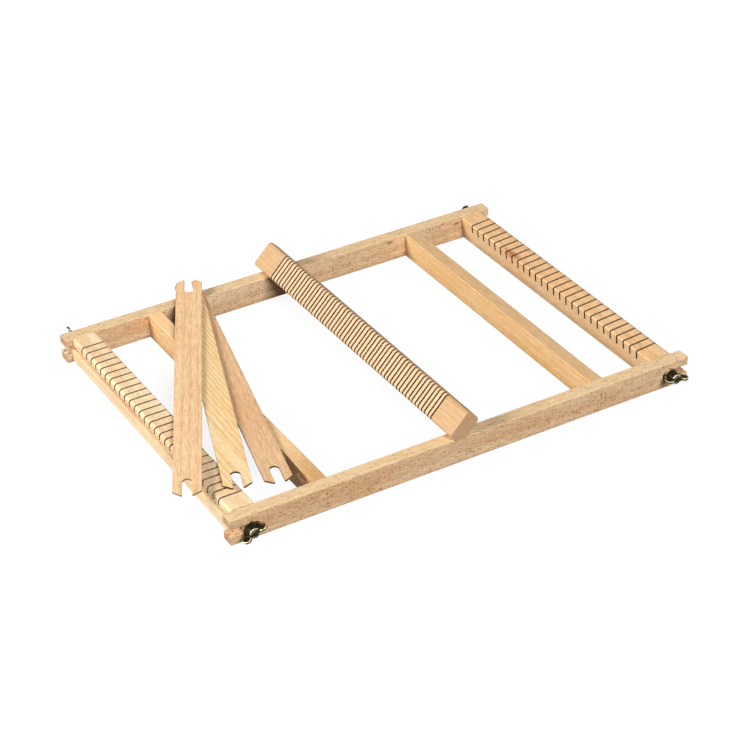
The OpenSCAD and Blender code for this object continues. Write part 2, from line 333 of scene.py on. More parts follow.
    def knot_share(self, tree: Tree, board: Socket, sample: float, knot: Knot) -> Socket:
        """Finds how much of the wood one knot, pitch mark or broad darker patch covers.

        Args:
            tree: the material's tree.
            board: the place on the board in millimetres.
            sample: how far the board's pattern is shifted along the grain.
            knot: the knot or mark.

        Returns:
            The knot's share of the colour, with a ragged edge.
        """
        x, y, z, long, high = knot
        node = partial(add, tree)
        away = node("VectorMath.SUBTRACT", [board, (x + sample, y, z)])
        away = node("VectorMath.MULTIPLY", [away, (2.0 / long, 2.0 / high, 2.0 / high)])
        ragged = node("TexNoise", {"Vector": board, "Scale": 0.9, "Detail": 3.0})
        far = node("VectorMath.LENGTH", [away], out="Value")
        far = node("Math.ADD", [far, ragged])
        return node("MapRange", [far, 0.7, 1.5, 0.8, 0.0], interpolation_type="SMOOTHSTEP")


# Steamed beech: pinkish tan with many short brown ray flecks and faint rings, and a greyer
# painted top light on its upper faces.
BEECH_RAIL = WoodFinish(
    "Sanded steamed beech", "#f2d2aa", "#d6a677", "#86400c", "#d89f66", Rings(4.5, 0.5),
    Flecks(3.6, 0.8, 0.65, 0.9), fibre_strength=0.27, foot_tint=0.5, painted_top_light_tone="#e6c799",
    painted_top_light_share=0.6, knot_shade="#7a3a1c", end_shade="#9a7048")
# The right crossbar is golden on its side, and its upper face gets a greyer painted top light.
BEECH_GOLDEN = WoodFinish(
    "Sanded golden beech", "#ecc490", "#dca76a", "#995a22", "#e4a95e", Rings(5.0, 0.45),
    Flecks(3.0, 0.6, 0.35, 0.5), fibre_strength=0.22, foot_tint=0.35,
    painted_top_light_tone="#cdab80", painted_top_light_share=0.7)
# White beech: lighter and more even, its flecks are small and pale brown.
BEECH = WoodFinish(
    "Sanded white beech", "#ebc597", "#d7a571", "#a0622b", "#e0a76b", Rings(4.0, 0.4),
    Flecks(2.6, 0.5, 0.4, 0.5), fibre_strength=0.2, knot_shade="#a05c34")
# The heddle bar's beech is smoother and a little darker, with a painted highlight on its sawn
# ridges.
BEECH_HEDDLE = WoodFinish(
    "Fine sanded beech", "#d0ab81", "#bd905f", "#9a6330", "#ce9c60", Rings(4.0, 0.4),
    Flecks(2.6, 0.5, 0.3, 0.35), end_shade="#c99f80")
# The left crossbar's beech is paler and straighter than the rails', with a paler painted top
# light on its upper face.
BEECH_CROSSBAR = WoodFinish(
    "Sanded pale beech", "#f0c896", "#deaa70", "#96591f", "#e2a660", Rings(4.0, 0.45),
    Flecks(3.0, 0.8, 0.4, 0.55), fibre_strength=0.2, foot_tint=0.3,
    painted_top_light_tone="#fcd8a6", painted_top_light_share=0.5, knot_shade="#c08c54")
# Thin sawn beech of the sticks, pinkish, with fine dashes on its broad face.
BEECH_STICK = WoodFinish(
    "Thin sanded beech", "#e8bf94", "#d4a070", "#9a6238", "#d69c68", Rings(6.0, 0.4),
    Flecks(2.4, 0.42, 0.6, 0.42), fibre_strength=0.28)
# The top stick's beech has the same dashes on paler wood.
BEECH_PALE_STICK = WoodFinish(
    "Thin sanded pale beech", "#f7d0a2", "#e2b07d", "#a46c40", "#e6b07c",
    Rings(6.0, 0.4), Flecks(2.4, 0.42, 0.6, 0.4), fibre_strength=0.26)
# Maple: cream and very even, with a fine hatch instead of flecks.
MAPLE = WoodFinish(
    "Sanded maple", "#f6deb4", "#ecc89a", "#b98452", "#ecbf92", Rings(6.0, 0.45),
    Flecks(2.4, 0.8, 0.35, 0.35), tint_strength=0.75)
# Ash: yellowish, with darker bands of late wood that cross the board aslant.
ASH = WoodFinish(
    "Planed ash", "#fbd9a5", "#d9a768", "#a87236", "#f0c27e", Rings(3.3, 0.62, 3.5),
    Flecks(2.4, 0.8, 0.3, 0.25), fibre_strength=0.24)


@dataclass(frozen=True)
class MetalFinish:
    """Metal whose high spots are rubbed bright and whose hollows stay dark."""

    name: str
    dark: str
    rubbed: str
    roughness_dark: float = 0.5
    roughness_rubbed: float = 0.28
    mottle_mm: float = 1.6
    grit_mm: float = 0.35
    relief_mm: float = 0.03

    def material(self) -> Material:
        """Makes the metal.

        Returns:
            The material, which reads the mark "worn".
        """
        made, tree = new_material(self.name)
        node = partial(add, tree)
        place = node("TexCoord", out="Object")
        mottle = node("TexNoise", {"Vector": place, "Scale": 1 / (self.mottle_mm * MM),
                                   "Detail": 3.0, "Roughness": 0.6})
        grit = node("TexNoise", {"Vector": place, "Scale": 1 / (self.grit_mm * MM),
                                 "Detail": 2.0})
        worn = node("Attribute", out="Fac", attribute_name="worn")
        patchy = node("MapRange", [mottle, 0.3, 0.7, 0.55, 1.25])
        bright = node("Math.MULTIPLY", [worn, patchy], use_clamp=True)
        shade = node("Mix", {0: bright, 6: srgb(self.dark), 7: srgb(self.rubbed)},
                     out=2, data_type="RGBA")
        dull = node("MapRange", [bright, 0.0, 1.0, self.roughness_dark, self.roughness_rubbed])
        bump = node("Bump", {"Height": grit, "Strength": 0.4,
                             "Distance": self.relief_mm * MM}, out="Normal")
        surface = node("BsdfPrincipled", {
            "Base Color": shade, "Metallic": 1.0, "Roughness": dull, "Normal": bump})
        node("OutputMaterial", {"Surface": surface})
        return made


# Antique bronze plate on a zinc casting: near black with brassy rubbed edges.
ANTIQUE_BRONZE = MetalFinish("Antique bronze plate on cast zinc", "#2a2417", "#e8dab6",
                             roughness_dark=0.34, roughness_rubbed=0.2)
# Dark zinc plate on a rolled thread: dull grey crests over brown roots.
ZINC_STEEL = MetalFinish("Dark zinc plate on rolled steel thread", "#2c261c", "#7d7565",
                         roughness_rubbed=0.3, mottle_mm=2.5)
# Brad wire, dulled and smeared with wood where the punch drove it in.
BRAD_STEEL = MetalFinish("Punched brad wire", "#4a3a28", "#7d7468",
                         roughness_dark=0.6, roughness_rubbed=0.45)


# ---- mesh helpers ----

# An edge is eased above the first angle in degrees, and shades crisp above the second.
EASED_DEG, CRISP_DEG = 32, 48
# A face is a side if its normal rises less than the first of these, and end grain
# if its normal follows the grain by more than the second.
UPRIGHT, END_GRAIN = 0.5, 0.8
# Points of a solid closer than this in millimetres are one point, and its triangles
# are one face where they bend less than this in degrees.
SAME_POINT, SAME_FACE_DEG = 0.002, 0.3


def link(name: str, data: bpy.types.ID) -> Piece:
    """Puts a mesh, a lamp or a camera in the scene.

    Args:
        name: the object's name.
        data: the mesh, lamp or camera.

    Returns:
        The object, at the origin.
    """
    piece = bpy.data.objects.new(name, data)
    bpy.context.scene.collection.objects.link(piece)
    return piece


@contextmanager
def editing(mesh: Mesh, source: Mesh | None = None) -> Iterator[bmesh.types.BMesh]:
    """Opens a mesh for editing and writes the result back.

    Args:
        mesh: the mesh that gets the result.
        source: the mesh to start from, if it is another one.

    Returns:
        The shape to edit inside the with statement.
    """
    shape = bmesh.new()
    shape.from_mesh(source or mesh)
    yield shape
    shape.to_mesh(mesh)
    shape.free()


def settle(piece: Piece) -> Piece:
    """Turns an object with live modifiers into one with a plain mesh.

    Args:
        piece: the object, which is removed.

    Returns:
        An object of the same name without modifiers.
    """
    bpy.context.view_layer.update()
    name = piece.name
    evaluated = piece.evaluated_get(bpy.context.evaluated_depsgraph_get())
    mesh = bpy.data.meshes.new_from_object(evaluated)
    bpy.data.objects.remove(piece)
    mesh.name = name
    return link(name, mesh)


def cad_copy(node: str, name: str) -> Piece:
    """Copies a solid and merges its loose triangles into clean flat faces.

    Args:
        node: the solid's node.
        name: the copy's name.

    Returns:
        The copy.
    """
    mesh = bpy.data.meshes.new(name)
    with editing(mesh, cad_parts[node].data) as shape:
        bmesh.ops.remove_doubles(shape, verts=shape.verts, dist=SAME_POINT * MM)
        bmesh.ops.dissolve_limit(shape, angle_limit=math.radians(SAME_FACE_DEG),
                                 verts=shape.verts, edges=shape.edges)
    return link(name, mesh)


def read(items: Any, key: str, width: int = 3, kind: type = float) -> np.ndarray:
    """Reads one property of all the points, edges, faces or corners of a mesh.

    Args:
        items: the points, edges, faces or corners.
        key: the property's name.
        width: how many numbers each has.
        kind: the type of the numbers.

    Returns:
        One row for each item, or one number where the width is one.
    """
    values = np.zeros(len(items) * width, kind)
    items.foreach_get(key, values)
    return values.reshape(-1, width) if width > 1 else values


def loop_faces(mesh: Mesh) -> tuple[np.ndarray, np.ndarray, np.ndarray]:
    """Gives each face corner its face's middle and normal, and its own point.

    Args:
        mesh: the mesh.

    Returns:
        Face middles, face normals and corner points, one row per corner, in metres.
    """
    corners = read(mesh.polygons, "loop_total", 1, int)
    return (np.repeat(read(mesh.polygons, "center"), corners, 0),
            np.repeat(read(mesh.polygons, "normal"), corners, 0),
            read(mesh.vertices, "co")[read(mesh.loops, "vertex_index", 1, int)])


def mark(mesh: Mesh, name: str, values: np.ndarray, domain: str) -> None:
    """Writes a named number on each item of a domain, POINT or CORNER, of a mesh."""
    made = mesh.attributes.new(name, "FLOAT", domain)
    made.data.foreach_set("value", values.astype(np.float32))


def round_over(piece: Piece) -> Piece:
    """Shades a piece smooth, with its broad faces flat and its sharp edges crisp.

    Args:
        piece: the object, which is replaced.

    Returns:
        The shaded object.
    """
    piece.data.shade_smooth()
    piece.data.set_sharp_from_angle(angle=math.radians(CRISP_DEG))
    weigh = piece.modifiers.new("weigh", "WEIGHTED_NORMAL")
    weigh.keep_sharp = True
    weigh.weight = 80
    return settle(piece)


def hand_over(piece: Piece, material: Material, body: str, slot: str,
              *nodes: str) -> None:
    """Dresses a finished piece, ties it to its body and reports it.

    Args:
        piece: the finished piece.
        material: its material.
        body: the body that carries it.
        slot: the record's material slot; it is not used.
        nodes: the solids that it stands for.
    """
    piece.data.materials.clear()
    piece.data.materials.append(material)
    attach(piece, body)
    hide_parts(*nodes)
    log.info("%s: %d faces on %s", piece.name, len(piece.data.polygons), body)


# ---- timber ----


@dataclass
class SawCuts:
    """A row of saw cuts across a bar, in the bar's own frame in millimetres."""

    places: list[float]
    kerf: float
    top: float
    deepest: float
    placing: Matrix
    rim: float = 0.3
    least_scorch_and_shade: float = 0.75

    def local(self, points: np.ndarray) -> np.ndarray:
        """Moves points in metres into the bar's own frame in millimetres."""
        back = np.array(self.placing.inverted())
        return (points @ back[:3, :3].T + back[:3, 3]) / MM

    def inside(self, points: np.ndarray) -> np.ndarray:
        """Tells which points lie in a cut or on its rim, where scorch and painted shade are
        drawn.

        Args:
            points: the points in metres.

        Returns:
            True or false for each point.
        """
        across = self.local(points)[:, 1]
        gap = np.abs(across[:, None] - np.array(self.places)[None, :]).min(1)
        return gap < self.kerf / 2 + self.rim

    def scorch_and_shade(self, points: np.ndarray) -> np.ndarray:
        """Tells how dark a cut's walls are at points in metres: scorch at the rim, and painted
        shade that is darkest at the foot.
        """
        deep = np.clip((self.top - self.local(points)[:, 2]) / self.deepest, 0.0, 1.0)
        return self.least_scorch_and_shade + (1 - self.least_scorch_and_shade) * deep


@dataclass
class Board:
    """One wooden piece, eased along its edges and marked where it was cut.

    Edges are eased by the ease in millimetres, and by the rim at saw cuts and round
    faces of fewer square millimetres than crisp_below. The ridge is how much
    painted highlight the upward faces between cuts get, and burn_and_shade is how dark
    the sides of a sawn stick are, with their scorch and painted shade.
    """

    node: str
    body: str
    slot: str
    finish: WoodFinish
    grain: Grain
    ease: float = 0.5
    rim: float = 0.08
    cuts: SawCuts | None = None
    ridge: float = 0.0
    burn_and_shade: float = 0.0
    crisp_below: float = 3.0

    def weigh_edges(self, shape: bmesh.types.BMesh) -> None:
        """Gives every sharp edge its share of the easing, little at cuts and pits.

        Args:
            shape: the merged board.
        """
        weight = shape.edges.layers.float.new("bevel_weight_edge")
        least = math.radians(EASED_DEG)
        for edge in shape.edges:
            if len(edge.link_faces) != 2 or edge.calc_face_angle(0.0) < least:
                continue
            narrow = min(face.calc_area() for face in edge.link_faces)
            sawn = False
            if self.cuts:
                middles = np.array([face.calc_center_median() for face in edge.link_faces])
                sawn = bool(self.cuts.inside(middles).any())
            small = sawn or narrow < self.crisp_below * MM * MM
            edge[weight] = self.rim / self.ease if small else 1.0

    def build(self) -> None:
        """Makes the board's mesh and its marks, and dresses it."""
        piece = cad_copy(self.node, f"{self.node}_wood")
        with editing(piece.data) as shape:
            self.weigh_edges(shape)
        ease = piece.modifiers.new("ease", "BEVEL")
        ease.limit_method = "WEIGHT"
        ease.width = self.ease * MM
        ease.segments = 2
        ease.use_clamp_overlap = False
        piece = round_over(settle(piece))
        self.mark_cuts(piece.data)
        material = self.finish.material(self.node.replace("_", " "), self.grain)
        hand_over(piece, material, self.body, self.slot, self.node)

    def mark_cuts(self, mesh: Mesh) -> None:
        """Marks sawn faces by their depth, for their scorch and painted shade, and faces cut
        across the grain.

        Args:
            mesh: the board's finished mesh.
        """
        middle, normal, point = loop_faces(mesh)
        # the sides of a stick get its scorch and a painted shade
        sawn = self.burn_and_shade * (np.abs(normal[:, 2]) < UPRIGHT)
        if self.cuts:
            # a cut's walls get scorch and a painted shade that deepens towards the foot
            sawn = self.cuts.inside(middle) * self.cuts.scorch_and_shade(point)
            # the painted highlight falls on the upward faces between the cuts, not in the cuts
            between = np.abs(self.cuts.local(middle)[:, 1]) < max(self.cuts.places)
            up = np.array(self.cuts.placing)[:3, 2]
            level = np.clip(2 * (normal @ up) - 0.4, 0.0, 1.0)
            mark(mesh, "ridge", self.ridge * (sawn == 0) * between * level, "CORNER")
        turn = math.radians(self.grain.heading)
        across = np.abs(normal @ np.array([math.cos(turn), math.sin(turn), 0.0])) > END_GRAIN
        mark(mesh, "sawn", sawn, "CORNER")
        mark(mesh, "crosscut", across * (sawn == 0), "CORNER")


# ---- trees that make hardware ----

# Points closer than this, in metres, are one point: it closes seams and ends.
WELD = 1e-6
# Faces round a thread, and faces round a washer and round its section.
THREAD_SIDES, WASHER_SIDES, SECTION_SIDES = 24, 64, 32
# The last stretch of a thread at each end, in metres, runs out into a chamfer.
RUN_OUT = 0.0008
# A thread's flank lies between its crest and its root, as shares of the pitch.
CREST, ROOT = 0.08, 0.42


def new_tree(name: str, **sizes: tuple[str, ...]) -> tuple[Tree, Socket]:
    """Makes an empty geometry tree with named inputs.

    Args:
        name: the tree's name.
        sizes: the inputs' names by their type. Geometry comes before them, and a
            material after them.

    Returns:
        The tree, and the first output of its input node.
    """
    tree = bpy.data.node_groups.new(name, "GeometryNodeTree")
    tree.interface.new_socket("Geometry", in_out="OUTPUT", socket_type="NodeSocketGeometry")
    sizes = {"Geometry": ("Geometry",)} | sizes | {"Material": ("Material",)}
    for kind, labels in sizes.items():
        for label in labels:
            tree.interface.new_socket(label, in_out="INPUT", socket_type=f"NodeSocket{kind}")
    return tree, add(tree, "GroupInput")


def finish_tree(tree: Tree, shape: Socket, material: Socket) -> Tree:
    """Ends a tree in real geometry with its material.

    Args:
        tree: the tree.
        shape: the geometry that it made.
        material: the tree's material input.

    Returns:
        The finished tree.
    """
    real = add(tree, "RealizeInstances", [shape])
    add(tree, "GroupOutput", [
        add(tree, "SetMaterial", {"Geometry": real, "Material": material})])
    return tree


def finish_round(tree: Tree, size: Any, grid: Socket, turns: Socket, radius: Socket,
                 level: Socket, worn: Socket) -> Tree:
    """Bends a grid round Z, marks how rubbed it is, closes it and sets it in place.

    Args:
        tree: the tree.
        size: the tree's inputs, with a place and a turn.
        grid: the flat grid.
        turns: where each point lies round Z, in whole turns.
        radius: how far each point lies from Z.
        level: how far along Z each point lies.
        worn: how rubbed the metal is at each point.

    Returns:
        The finished tree.
    """
    node = partial(add, tree)
    angle = node("Math.MULTIPLY", [turns, math.tau])
    x, y = (node("Math.MULTIPLY", [radius, node(f"Math.{wave}", [angle])])
            for wave in ("COSINE", "SINE"))
    named = node("StoreNamedAttribute", {"Geometry": grid, "Name": "worn", "Value": worn})
    shaped = node("SetPosition", {
        "Geometry": named, "Position": node("CombineXYZ", [x, y, level])})
    closed = node("MergeByDistance", {"Geometry": shaped, "Distance": WELD})
    placed = node("Transform", {
        "Geometry": node("SetShadeSmooth", [closed]), "Translation": size["Place"],
        "Rotation": node("EulerToRotation", [size["Turn"]])})
    return finish_tree(tree, placed, size["Material"])


def finish_copies(tree: Tree, first: Socket, count: int, place: Socket,
                  turn: Socket) -> Tree:
    """Ends a tree with copies of the geometry that it is given.

    Args:
        tree: the tree.
        first: the tree's geometry input.
        count: how many copies there are.
        place: where each one goes.
        turn: how each one is turned.

    Returns:
        The finished tree.
    """
    copies = add(tree, "InstanceOnPoints", {
        "Points": add(tree, "Points", {"Count": count, "Position": place}),
        "Instance": first, "Rotation": add(tree, "EulerToRotation", [turn])})
    return finish_tree(tree, copies, first.node.outputs["Material"])


def grow(tree: Tree, name: str, sizes: dict[str, Any],
         source: Mesh | None = None) -> Piece:
    """Runs a geometry tree and keeps its result as a plain mesh.

    Args:
        tree: the tree.
        name: the piece's name.
        sizes: a value for each of the tree's inputs.
        source: the mesh that the tree starts from, if it needs one.

    Returns:
        The piece.
    """
    piece = link(name, source.copy() if source else bpy.data.meshes.new(name))
    live = piece.modifiers.new("grow", "NODES")
    live.node_group = tree
    for socket in tree.interface.items_tree:
        if getattr(socket, "in_out", "") == "INPUT" and socket.name in sizes:
            live[socket.identifier] = sizes[socket.name]
    return settle(piece)


def thread_tree() -> Tree:
    """Makes the tree of a threaded rod along Z, closed at both ends.

    Returns:
        The tree, with the rod's start, length, radius, pitch and thread depth as inputs.
    """
    tree, first = new_tree(
        "Threaded rod", Float=("Start", "Length", "Radius", "Pitch", "Depth"),
        Int=("Rows",), Vector=("Place", "Turn"))
    size = first.node.outputs
    node = partial(add, tree)
    rows = size["Rows"]
    grid = node("MeshGrid", {"Size X": 1.0, "Size Y": 1.0, "Vertices X": THREAD_SIDES + 1,
                             "Vertices Y": node("Math.ADD", [rows, 1.0])})
    part = node("SeparateXYZ", [node("InputPosition")])
    turns = node("Math.ADD", [part, 0.5])
    row = node("Math.ADD", [part.node.outputs["Y"], 0.5])
    row = node("Math.ROUND", [node("Math.MULTIPLY", [row, rows])])
    share = node("Math.DIVIDE", [
        node("Math.SUBTRACT", [row, 1.0]), node("Math.SUBTRACT", [rows, 2.0])],
        use_clamp=True)
    reach = node("Math.MULTIPLY", [share, size["Length"]])
    phase = node("Math.SUBTRACT", [node("Math.DIVIDE", [reach, size["Pitch"]]), turns])
    flank = node("Math.PINGPONG", [phase, 0.5])
    groove = node("MapRange", [flank, CREST, ROOT, 0.0, 1.0])
    to_end = node("Math.MINIMUM", [reach, node("Math.SUBTRACT", [size["Length"], reach])])
    chamfer = node("MapRange", [to_end, 0.0, RUN_OUT, 1.0, 0.0])
    cut = node("Math.MAXIMUM", [groove, chamfer])
    radius = node("Math.SUBTRACT", [
        size["Radius"], node("Math.MULTIPLY", [cut, size["Depth"]])])
    # the first and the last row shrink to a point, which closes the ends
    before_last = node("Math.SUBTRACT", [rows, 0.5])
    open_row = node("Math.MULTIPLY", [
        node("Math.GREATER_THAN", [row, 0.5]),
        node("Math.LESS_THAN", [row, before_last])])
    return finish_round(tree, size, grid, turns,
                        radius=node("Math.MULTIPLY", [radius, open_row]),
                        level=node("Math.ADD", [reach, size["Start"]]),
                        worn=node("Math.SUBTRACT", [1.0, cut]))


def washer_tree() -> Tree:
    """Makes the tree of a pressed washer round Z, with its edges rounded over.

    Returns:
        The tree, with the washer's radii, start and thickness as inputs.
    """
    tree, first = new_tree(
        "Pressed washer", Float=("Inner radius", "Outer radius", "Start", "Thickness"),
        Vector=("Place", "Turn"))
    size = first.node.outputs
    node = partial(add, tree)
    grid = node("MeshGrid", {"Size X": 1.0, "Size Y": 1.0, "Vertices X": WASHER_SIDES + 1,
                             "Vertices Y": SECTION_SIDES + 1})
    turns = node("SeparateXYZ", [node("InputPosition")])
    section = node("Math.MULTIPLY", [turns.node.outputs["Y"], math.tau])
    # a low power of sine and cosine is a flat section with rounded corners
    edges = []
    for wave in ("COSINE", "SINE"):
        swing = node(f"Math.{wave}", [section])
        full = node("Math.POWER", [node("Math.ABSOLUTE", [swing]), 0.3])
        edges.append(node("Math.MULTIPLY", [full, node("Math.SIGN", [swing])]))
    out, up = edges
    level = node("MapRange", [up, -1.0, 1.0, 0.0, size["Thickness"]])
    return finish_round(
        tree, size, grid, turns,
        radius=node("MapRange", [out, -1.0, 1.0, size["Inner radius"], size["Outer radius"]]),
        level=node("Math.ADD", [level, size["Start"]]),
        worn=node("MapRange", [node("Math.ABSOLUTE", [out]), 0.8, 1.0, 0.1, 0.8]))


def placed_tree() -> Tree:
    """Makes the tree that sets one casting in place, so that all are the same.

    Returns:
        The tree, with the place and the turn as inputs.
    """
    tree, first = new_tree("Placed casting", Vector=("Place", "Turn"))
    size = first.node.outputs
    return finish_copies(tree, first, 1, size["Place"], size["Turn"])


def brad_tree() -> Tree:
    """Makes the tree that drives a brad into each of the eight places.

    Returns:
        The tree. Its geometry input is one brad that points along +Y from the rail's
        face, and its sizes give the joints' places.
    """
    tree, first = new_tree("Driven brads", Float=(
        "Left", "Right", "Front", "Back", "Middle height", "Spacing"))
    size = first.node.outputs
    node = partial(add, tree)
    # left and right take turns, then lower and upper, then the front and the back rail
    index = node("InputIndex")
    right = node("Math.MODULO", [index, 2.0])
    pair = node("Math.FLOOR", [node("Math.DIVIDE", [index, 2.0])])
    upper = node("Math.MODULO", [pair, 2.0])
    back = node("Math.FLOOR", [node("Math.DIVIDE", [index, 4.0])])
    level = node("Math.MULTIPLY", [node("Math.SUBTRACT", [upper, 0.5]), size["Spacing"]])
    place = node("CombineXYZ", [
        node("MapRange", [right, 0.0, 1.0, size["Left"], size["Right"]]),
        node("MapRange", [back, 0.0, 1.0, size["Front"], size["Back"]]),
        node("Math.ADD", [level, size["Middle height"]])])
    half_turn = node("Math.MULTIPLY", [back, math.pi])
    turn = node("CombineXYZ", [0.0, 0.0, half_turn])
    return finish_copies(tree, first, 8, place, turn)


# ---- sub-assemblies ----


@dataclass(frozen=True)
class LoomSizes:
    """Sizes that more than one sub-assembly shares, in millimetres."""

    inside_width: float = 310.0
    rail_thickness: float = 13.0
    rail_height: float = 24.0
    warp_pitch: float = 10.0
    warp_cuts: int = 28
    stud_diameter: float = 6.0
    washer_thickness: float = 1.5
    rest_gap: float = 0.05
    hub_height: float = 8.5
    stud_proud: float = 1.0
    bar_gap: float = 0.4

    @property
    def back_y(self) -> float:
        """The middle of the back rail."""
        return self.inside_width + self.rail_thickness

    @property
    def mid_y(self) -> float:
        """The middle of the loom between the rails."""
        return self.back_y / 2

    @property
    def stud_z(self) -> float:
        """The height of the stud axes."""
        return self.rail_height / 2

    @property
    def washer_start(self) -> float:
        """The distance of a washer's inner face from the middle of the loom."""
        return self.mid_y + self.rail_thickness / 2 + self.rest_gap

    @property
    def nut_start(self) -> float:
        """The distance of a wing nut's base from the middle of the loom."""
        return self.washer_start + self.washer_thickness + self.rest_gap


LOOM = LoomSizes()


@dataclass
class RailFrame:
    """Two side rails nailed to two crossbars."""

    crossbar_spacing: float = 272.4
    brad_width: float = 1.2
    brad_head_height: float = 1.9
    brad_head_thickness: float = 0.8
    brad_shank: float = 1.0
    brad_length: float = 32.0
    brad_point: float = 2.0
    brad_set: float = 0.6
    brad_spacing: float = 10.1
    brad_drift: float = 3.0
    brad_tip: float = 0.16
    brad_round: float = 0.15
    brad_neck: float = 0.1
    brad_wear: float = 0.35

    def boards(self) -> list[Board]:
        """Lists the four boards with the way each was cut.

        Returns:
            The rails and the crossbars.
        """
        half, middle = self.crossbar_spacing / 2, LOOM.stud_z
        rows = [
            ("rail_front", BEECH_RAIL, 0.7, 0.08,
             Grain((0, 0, middle), 0, 0, (60.0, 8.0), 210.0)),
            ("rail_back", BEECH_RAIL, 0.7, 0.08,
             Grain((0, LOOM.back_y, middle), 0, 180, (48.0, -14.0), 830.0,
                   ((187.9, 6.5, -6.0, 12.0, 4.0), (111.8, 6.5, -8.0, 9.0, 3.0)))),
            # the left crossbar is darker over a broad soft patch at its near end
            ("crossbar_left", BEECH_CROSSBAR, 0.5, 0.0,
             Grain((-half, LOOM.mid_y, middle), 90, 90, (22.0, -40.0), 1400.0,
                   ((-158.0, 0.0, 0.0, 150.0, 70.0),))),
            ("crossbar_right", BEECH_GOLDEN, 0.5, 0.0,
             Grain((half, LOOM.mid_y, middle), 90, 0, (40.0, 30.0), 2150.0))]
        return [Board(node, "frame", "beech_rail", wood, grain, ease, rim, crisp_below=30.0)
                for node, wood, ease, rim, grain in rows]

    def one_brad(self) -> Mesh:
        """Makes one brad with a chisel point, driven along +Y from the rail's face.

        Returns:
            The brad's mesh.
        """
        neck = self.brad_set + self.brad_head_thickness
        tip = self.brad_set + self.brad_length
        # half the outline, from the middle of the rounded head to the tip
        head, shank = self.brad_head_height / 2, self.brad_shank / 2
        outline = [(self.brad_set, 0.4 * head), (self.brad_set, 0.9 * head),
                   (self.brad_set + self.brad_round, head),
                   (neck - self.brad_neck, head), (neck, 0.9 * head),
                   (neck, shank), (tip - self.brad_point, shank), (tip, self.brad_tip / 2)]
        outline += [(y, -z) for y, z in reversed(outline)]
        half = self.brad_width / 2
        points = [(x * MM, y * MM, z * MM) for x in (-half, half) for y, z in outline]
        count = len(outline)
        faces = [tuple(range(count)), tuple(reversed(range(count, 2 * count)))]
        faces += [(i, i + count, (i + 1) % count + count, (i + 1) % count)
                  for i in range(count)]
        mesh = bpy.data.meshes.new("brad")
        mesh.from_pydata(points, [], faces)
        with editing(mesh) as shape:
            bmesh.ops.recalc_face_normals(shape, faces=shape.faces)
        end = (neck + self.brad_neck / 2) * MM
        on_head = np.array([point[1] < end for point in points])
        mark(mesh, "worn", on_head * self.brad_wear, "POINT")
        return mesh

    def build(self) -> None:
        """Makes and dresses the rails, the crossbars and their brads."""
        for board in self.boards():
            board.build()
        half = self.crossbar_spacing / 2
        face = LOOM.rail_thickness / 2
        brads = grow(brad_tree(), "crossbar_brads_driven", {
            "Left": -half * MM, "Right": (half - self.brad_drift) * MM,
            "Front": -face * MM, "Back": (LOOM.back_y + face) * MM,
            "Middle height": LOOM.stud_z * MM, "Spacing": self.brad_spacing * MM},
            self.one_brad())
        hand_over(brads, BRAD_STEEL.material(), "frame", "brad_steel", "crossbar_brads")


